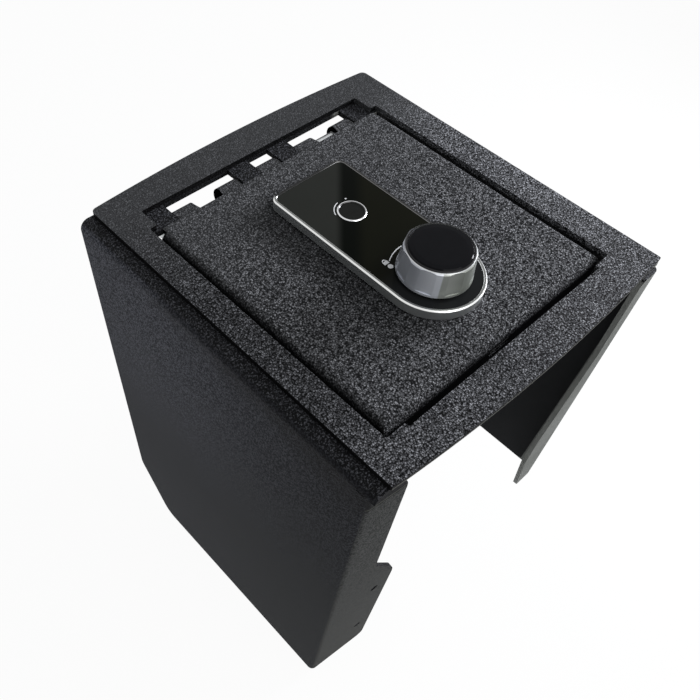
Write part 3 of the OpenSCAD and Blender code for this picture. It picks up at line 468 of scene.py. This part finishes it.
# Pale specks are painted highlights, kept to faces turned up or to the right, and fade out on faces turned
# left.
upward = face_z.fade(0.10, 0.95) * face_x.fade(-0.90, -0.05)
upward = upward.larger(face_x.fade(0.15, 0.6))
lump, chance, relief, cloud = coarse_wrinkles(place)
calm = 0.10 + deep.fade(-0.02, 0.09) * 0.25
speck = lump * (0.22 + 0.78 * chance * chance) * (0.01 + 0.99 * upward) * (0.80 + 0.40 * cloud)
coat = speck.paint((0.0030, 0.0030, 0.0034), (0.445, 0.451, 0.478))
coat = (calm * upward).paint(coat, (0.115, 0.117, 0.122))
# Painted light and shade: the lid is painted darker except towards its front right, and a painted shadow of
# the lock lies beside the lock's left side.
lit_front = across.fade(-0.04, 0.07) * deep.fade(0.07, -0.02)
lock_shadow = across.fade(-0.048, -0.029) * across.fade(-0.018, -0.020)
lock_shadow = lock_shadow * deep.fade(-0.062, -0.035) * deep.fade(0.054, 0.040)
shade = 0.22 - 0.22 * lit_front + lock_shadow * 0.34
coat = shade.paint(coat, shade_black)
coat = face_z.fade(-0.5, -0.8).paint(coat, lump.paint((0.008, 0.008, 0.009), (0.030, 0.031, 0.034)))
lay_on(
    lid_black,
    coat,
    upward.fade(0.0, 1.0, 0.60, 0.50) + cloud * 0.06,
    (relief * (0.35 + 0.65 * upward) * (1.0 - calm)).bump(0.0005),
    gloss=0.0,
)
coat_with(lid_black, "lid_panel")

# Lock bezel. A zinc die casting, blasted and satin plated, held by four screws
# from below on a thin rubber gasket. Its narrow top edge is polished, with a
# painted highlight on its rounded part; the flat top of the edge, the edge at
# the back left and the front right are painted dark as painted shade.
coat_with(rubber, "lock_gasket")
bezel_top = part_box("lock_bezel")[1].z
satin, place = new_finish("satin_plating")
across, deep, high = place.along(0), place.along(1), place.along(2)
blast = place.grain(0.00035, 3.0, 0.6)
haze = place.grain(0.012, 2.0, 0.5)
# Painted highlight on the rounded top edge, painted shade on its flat top.
edge = high.fade(bezel_top - 0.0009, bezel_top - 0.0006)
flat_top = place.facing().along(2).fade(0.85, 0.97)
# Painted shade over the front right, and on the edge at the back left.
shaded = across.fade(0.006, 0.022) * deep.fade(-0.045, -0.025)
back_left = deep.fade(0.040, 0.0455) * across.fade(-0.0222, -0.0200)
silver = (blast * 0.5 + haze * 0.5).paint((0.50, 0.52, 0.52), (0.64, 0.66, 0.66))
silver = deep.fade(-0.045, -0.020).paint(silver, (0.50, 0.525, 0.53))
silver = edge.paint(silver, flat_top.paint((0.92, 0.93, 0.92), (0.22, 0.225, 0.22)))
silver = (edge * back_left).paint(silver, (0.030, 0.030, 0.030))
lay_on(
    satin,
    shaded.paint(silver, flat_top.paint((0.20, 0.20, 0.20), (0.05, 0.05, 0.05))),
    edge.fade(0.0, 1.0, 0.42, 0.30) + haze * 0.05,
    blast.bump(0.00004, 0.6),
    metal=1.0,
)
coat_with(satin, "lock_bezel")

# Lock screws. Four M3 screws of zinc plated steel, put in from inside the lid,
# pull the bezel down on its gasket and carry the housing.
coat_with(zinc, "lock_screws")

# Lock glass. Black glass glued into the bezel, with white ink printed on it: a
# padlock, a dot and an arc that show the way the knob turns, and an arc and a
# dot of light beside the sensor.


def middle_of(name):
    """The middle of a CAD piece, seen from above."""
    low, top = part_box(name)
    return ((low + top) / 2).to_2d()


glass_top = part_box("lock_glass")[1].z
knob_axis = middle_of("knob_body")
glass, place = new_finish("black_glass")
smear = place.grain(0.018, 3.0, 0.6)
wave = place.grain(0.05, 1.0, 0.5)
# Painted reflections: a very dark band across the glass and, past it towards the back left, a pale one; the
# glass is also painted paler near the knob.
sheen = place.along(0) * 0.709 - place.along(1) * 0.705
knob_reflection = place.along(1).fade(-0.020, -0.032)
pale_reflection = smear.paint((0.0200, 0.0213, 0.0190), (0.0240, 0.0253, 0.0225))
black = smear.paint((0.0048, 0.0052, 0.0026), (0.0062, 0.0066, 0.0036))
black = sheen.fade(-0.012, -0.004).paint((0.0010, 0.0018, 0.0010), black)
black = sheen.fade(-0.0155, -0.0205).paint(black, pale_reflection)
lay_on(
    glass,
    knob_reflection.paint(black, (0.0125, 0.0132, 0.0138)),
    smear.fade(0.3, 0.8, 0.045, 0.09),
    wave.bump(0.0004, 0.15),
    gloss=0.03,
)
coat_with(glass, "lock_glass")
white_ink, place = new_finish("white_print")
dots = place.grain(0.0002, 2.0, 0.6)
lay_on(
    white_ink,
    dots.fade(0.3, 0.7).paint((0.74, 0.75, 0.76), (0.86, 0.87, 0.88)),
    0.42 + dots * 0.1,
    dots.bump(0.00001, 0.4),
)
ink_foot = glass_top + 0.00001
ink_top = glass_top + 0.00006


def print_mark(name, outlines):
    """Ink 0.05 mm thick on the glass, from closed outlines seen from above."""
    form = bmesh.new()
    for outline in outlines:
        join_rings(form, [[form.verts.new((x, y, z)) for x, y in outline] for z in (ink_foot, ink_top)])
    mark = new_piece(name, form, white_ink)
    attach(mark, "lid")


def arc_band(centre, radius, wide, start, stop, steps=20):
    """The outline of a curved stroke with round ends, angles in degrees."""
    cx, cy = centre
    half = wide / 2
    turn = [math.radians(start + (stop - start) * i / steps) for i in range(steps + 1)]
    out = [(cx + (radius + half) * math.cos(a), cy + (radius + half) * math.sin(a)) for a in turn]
    back = [(cx + (radius - half) * math.cos(a), cy + (radius - half) * math.sin(a)) for a in turn[::-1]]
    tips = []
    for a, way in ((turn[-1], 1), (turn[0], -1)):
        sign = way if stop > start else -way
        tips.append([
            (cx + (radius + half * math.cos(b)) * math.cos(a) - sign * half * math.sin(b) * math.sin(a),
             cy + (radius + half * math.cos(b)) * math.sin(a) + sign * half * math.sin(b) * math.cos(a))
            for b in [math.pi * k / 6 for k in range(1, 6)]
        ])
    return out + tips[0] + back + tips[1][::-1]


def ring_of(centre, radius, sides=28):
    """The outline of a round dot."""
    cx, cy = centre
    turns = [2 * math.pi * k / sides for k in range(sides)]
    return [(cx + radius * math.cos(a), cy + radius * math.sin(a)) for a in turns]


lock_x, lock_y = -0.0128, -0.01705
body = [(lock_x + x, lock_y + y) for x, y in (
    (-0.00145, -0.0010), (-0.0013, -0.00115), (0.0013, -0.00115), (0.00145, -0.0010),
    (0.00145, 0.0006), (0.0013, 0.00075), (-0.0013, 0.00075), (-0.00145, 0.0006))]
shackle = arc_band((lock_x, lock_y + 0.00085), radius=0.00088, wide=0.00046, start=-10, stop=190)
turn_arc = arc_band(knob_axis, radius=0.0205, wide=0.0005, start=121, stop=88)
light_arc = arc_band((0.0002, 0.0173), radius=0.0086, wide=0.00045, start=160, stop=100)
print_mark("printed_padlock", [body, shackle])
print_mark("printed_dot", [ring_of((lock_x, lock_y - 0.0031), radius=0.00135)])
print_mark("printed_turn_arc", [turn_arc])
print_mark("sensor_light_arc", [light_arc])
print_mark("sensor_light_dot", [ring_of((0.0041, 0.0254), radius=0.00045)])

# Fingerprint sensor. A turned steel ring is pressed into the glass round the
# sensor's black face, which is a ceramic disc with a fine satin skin.
steel_ring, place = new_finish("polished_steel")
turned = place.grain(0.0004, 2.0, 0.5)
bright = turned.paint((0.80, 0.81, 0.82), (0.90, 0.91, 0.92))
# Painted shade: inside 6.6 mm from the pad's middle the ring is painted dark.
reach = place.away_from(middle_of("sensor_pad"))
lay_on(
    steel_ring,
    reach.fade(0.00655, 0.00675).paint((0.06, 0.06, 0.06), bright),
    0.20 + turned * 0.08,
    turned.bump(0.00002, 0.5),
    metal=1.0,
)
coat_with(steel_ring, "sensor_ring")
ceramic, place = new_finish("sensor_ceramic")
skin = place.grain(0.0003, 3.0, 0.6)
haze = place.grain(0.006, 2.0, 0.5)
lay_on(
    ceramic,
    (skin * 0.4 + haze * 0.6).paint((0.0042, 0.0048, 0.0042), (0.0075, 0.0082, 0.0072)),
    haze.fade(0.3, 0.7, 0.32, 0.42),
    skin.bump(0.00002, 0.5),
    gloss=0.08,
)
coat_with(ceramic, "sensor_pad")

# Spindle and bolt work. A brass bush in the lid carries the spindle; the nut
# clamps the cam wheel on it, and the wheel's spiral slots drive three blackened
# steel bolts, in guides of pressed steel, by their follower pins.
brass, place = new_finish("turned_brass")
turned = place.grain(0.0006, 2.0, 0.5, stretch=(1.0, 1.0, 8.0))
lay_on(
    brass,
    turned.paint((0.56, 0.40, 0.14), (0.72, 0.54, 0.22)),
    0.24 + turned * 0.16,
    turned.bump(0.00004, 0.5),
    metal=1.0,
)
coat_with(brass, "spindle_bush")
bright_steel, place = new_finish("ground_steel")
stroke = place.grain(0.0005, 3.0, 0.6, stretch=(1.0, 1.0, 12.0))
haze = place.grain(0.009, 3.0, 0.6)
lay_on(
    bright_steel,
    (stroke * 0.5 + haze * 0.5).paint((0.42, 0.43, 0.44), (0.62, 0.63, 0.63)),
    haze.fade(0.3, 0.7, 0.26, 0.46),
    stroke.bump(0.00005, 0.5),
    metal=1.0,
)
coat_with(bright_steel, "knob_spindle", "follower_left", "follower_right", "follower_front", "blocking_pin")
coat_with(zinc, "cam_wheel", "spindle_nut")
bolt_black, place = new_finish("blackened_bolt_steel")
stroke = place.grain(0.0006, 3.0, 0.6, stretch=(1.0, 6.0, 6.0))
haze = place.grain(0.006, 3.0, 0.6)
lay_on(
    bolt_black,
    (stroke * 0.5 + haze * 0.5).paint((0.005, 0.005, 0.006), (0.014, 0.014, 0.015)),
    haze.fade(0.3, 0.7, 0.52, 0.66),
    stroke.bump(0.00005, 0.5),
    gloss=0.08,
)
coat_with(bolt_black, "bolt_left", "bolt_right", "bolt_front")
guide_steel, place = new_finish("pressed_guide_steel")
haze = place.grain(0.005, 3.0, 0.6)
drawn = place.grain(0.0006, 2.0, 0.6, stretch=(1.0, 1.0, 9.0))
lay_on(
    guide_steel,
    (haze * 0.6 + drawn * 0.4).paint((0.36, 0.37, 0.38), (0.56, 0.57, 0.57)),
    haze.fade(0.3, 0.7, 0.32, 0.50),
    drawn.bump(0.00006, 0.5),
    metal=1.0,
)
coat_with(guide_steel, "bolt_guide_left", "bolt_guide_right", "bolt_guide_front")

# Lock housing. A moulded black box on the lid's underside, with a cover held by
# four screws; it keeps the board, the cells and the blocking motor.
moulded, place = new_finish("moulded_black")
spark = place.grain(0.00045, 3.0, 0.6)
flow = place.grain(0.02, 2.0, 0.5)
lay_on(
    moulded,
    (spark * 0.3 + flow * 0.7).paint((0.014, 0.014, 0.015), (0.026, 0.026, 0.027)),
    0.42 + spark * 0.14,
    spark.bump(0.00006, 0.7),
    gloss=0.4,
)
coat_with(moulded, "lock_housing", "housing_cover")
coat_with(zinc, "cover_screws")

# Circuit board. Green epoxy board with tracks under the mask; three chips with
# their legs, a row of small parts and a wire socket are soldered to its lower face.
board_green, place = new_finish("board_mask")
track = place.node("ShaderNodeTexBrick", {"offset": 0.37}, {
    "Vector": place, "Scale": 260.0, "Mortar Size": 0.06, "Mortar Smooth": 0.2}, "Fac")
weave = place.grain(0.0008, 2.0, 0.5)
dark_green = weave.paint((0.006, 0.075, 0.032), (0.010, 0.105, 0.046))
lay_on(
    board_green,
    track.paint(dark_green, (0.035, 0.23, 0.10)),
    0.34 + weave * 0.1,
    track.bump(0.00004, 0.6),
)
coat_with(board_green, "circuit_board")


def small_block(form, centre, size, chamfer):
    """A block with its lower edges chamfered, hanging from the board."""
    cx, cy, top = centre
    long, wide, tall = size
    rings = []
    for z, cut in ((top, 0.0), (top - tall + chamfer, 0.0), (top - tall, chamfer)):
        rings.append([form.verts.new((cx + a * (long / 2 - cut), cy + b * (wide / 2 - cut), z))
                      for a, b in ((-1, -1), (1, -1), (1, 1), (-1, 1))])
    join_rings(form, rings)


def solder_on(name, blocks, finish):
    """Blocks on the board's lower face, as one piece."""
    form = bmesh.new()
    for centre, size, chamfer in blocks:
        small_block(form, centre, size, chamfer)
    made = new_piece(name, form, finish)
    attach(made, "lid")


board_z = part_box("circuit_board")[0].z
chip_places = (-0.0165, 0.0, 0.0165)
chip_row = 0.0245
chip_size = (0.0075, 0.0060, 0.0013)
chips = [((x, chip_row, board_z), chip_size, 0.0002) for x in chip_places]
socket_size = (0.010, 0.004, 0.0030)
wire_socket = ((0.0, 0.0345, board_z), socket_size, 0.0003)
solder_on("board_chips", chips + [wire_socket], moulded)
part_start = -0.0235
part_step = 0.0047
part_row = 0.0305
part_size = (0.0016, 0.0009, 0.0007)
small_parts = [((part_start + part_step * k, part_row, board_z), part_size, 0.0001) for k in range(11)]
leg_start = -0.0019
leg_step = 0.00127
leg_reach = 0.0036
leg_size = (0.0004, 0.0012, 0.0004)
legs = [((x + leg_start + leg_step * k, chip_row + side * leg_reach, board_z), leg_size, 0.0001)
        for x in chip_places for k in range(4) for side in (-1, 1)]
solder_on("board_solder", small_parts + legs, zinc)

# Battery cells. Three cells with a printed plastic sleeve and bare ends, between
# sprung contact plates at both ends of the tray.
sleeve, place = new_finish("cell_sleeve")
across = place.along(0)
steel_end = abs(across).fade(0.0207, 0.0210)
band = across.fade(0.0080, 0.0083)
wrap = place.grain(0.0011, 2.0, 0.5)
blue = wrap.paint((0.020, 0.050, 0.17), (0.028, 0.066, 0.21))
orange = (0.55, 0.34, 0.10)
bare_steel = (0.62, 0.62, 0.60)
lay_on(
    sleeve,
    steel_end.paint(band.paint(blue, orange), bare_steel),
    steel_end.fade(0.0, 1.0, 0.30, 0.26) + wrap * 0.06,
    wrap.bump(0.00003, 0.5),
    metal=steel_end,
)
coat_with(sleeve, "battery_cells")
coat_with(guide_steel, "battery_contacts", "block_motor")

# Knob. A zinc die casting, turned and plated, pinned on the spindle; the flats
# on its side give grip, and a glossy black cap is glued into its top.
knob_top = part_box("knob_body")[1].z
knob_plate, place = new_finish("knob_plating")
across, high = place.along(0), place.along(2)
ahead = place.along(1) - knob_axis.y
blast = place.grain(0.0004, 3.0, 0.6)
haze = place.grain(0.010, 2.0, 0.5)
tone = blast * 0.5 + haze * 0.5
bevel = high.fade(knob_top - 0.0009, knob_top - 0.0005) * place.facing().along(2).fade(0.15, 0.4)
outer = place.away_from(knob_axis).fade(0.0156, 0.0158)
brim = bevel * outer
inner_bevel = bevel * (1.0 - outer)
behind = (across * 0.45 + place.along(1)).fade(-0.036, -0.026)
# Painted light on the plating: paler higher up and darker towards the back.
silver = high.fade(0.2915, 0.3045).paint(
    tone.paint((0.76, 0.79, 0.86), (0.84, 0.87, 0.94)),
    tone.paint((0.84, 0.87, 0.94), (0.92, 0.95, 1.00)),
)
silver = ahead.fade(-0.011, 0.001).paint(silver, (0.46, 0.48, 0.53))
# Each side of the knob's flats is painted its own tone, as painted light and shade.
turned_away = (across - ahead).fade(-0.0005, 0.0005)
front_flats = across.fade(-0.010, -0.001).paint((0.45, 0.47, 0.44), (0.30, 0.32, 0.29))
right_flats = across.fade(0.004, 0.014).paint((0.31, 0.33, 0.30), (0.48, 0.50, 0.50))
silver = turned_away.paint(silver, front_flats)
silver = across.fade(-0.0004, 0.0006).paint(silver, right_flats)
# A painted highlight along the top rim, dimmer at the front right, painted shade on the rim at the back, and
# the inner bevel painted almost black as painted shade.
brim_tone = turned_away.paint((0.80, 0.81, 0.82), (0.58, 0.59, 0.60))
brim_tone = behind.paint(brim_tone, (0.04, 0.04, 0.045))
silver = brim.paint(silver, brim_tone)
lay_on(
    knob_plate,
    inner_bevel.paint(silver, (0.006, 0.006, 0.007)),
    brim.fade(0.0, 1.0, 0.30, 0.24) + haze * 0.05,
    blast.bump(0.00003, 0.5),
    metal=0.5,
)
coat_with(knob_plate, "knob_body")
cap_black, place = new_finish("glossy_cap")
smear = place.grain(0.008, 3.0, 0.6)
lay_on(
    cap_black,
    smear.paint((0.0040, 0.0042, 0.0052), (0.0070, 0.0072, 0.0088)),
    smear.fade(0.3, 0.8, 0.07, 0.13),
    smear.bump(0.00003, 0.2),
    gloss=0.045,
)
coat_with(cap_black, "knob_cap")
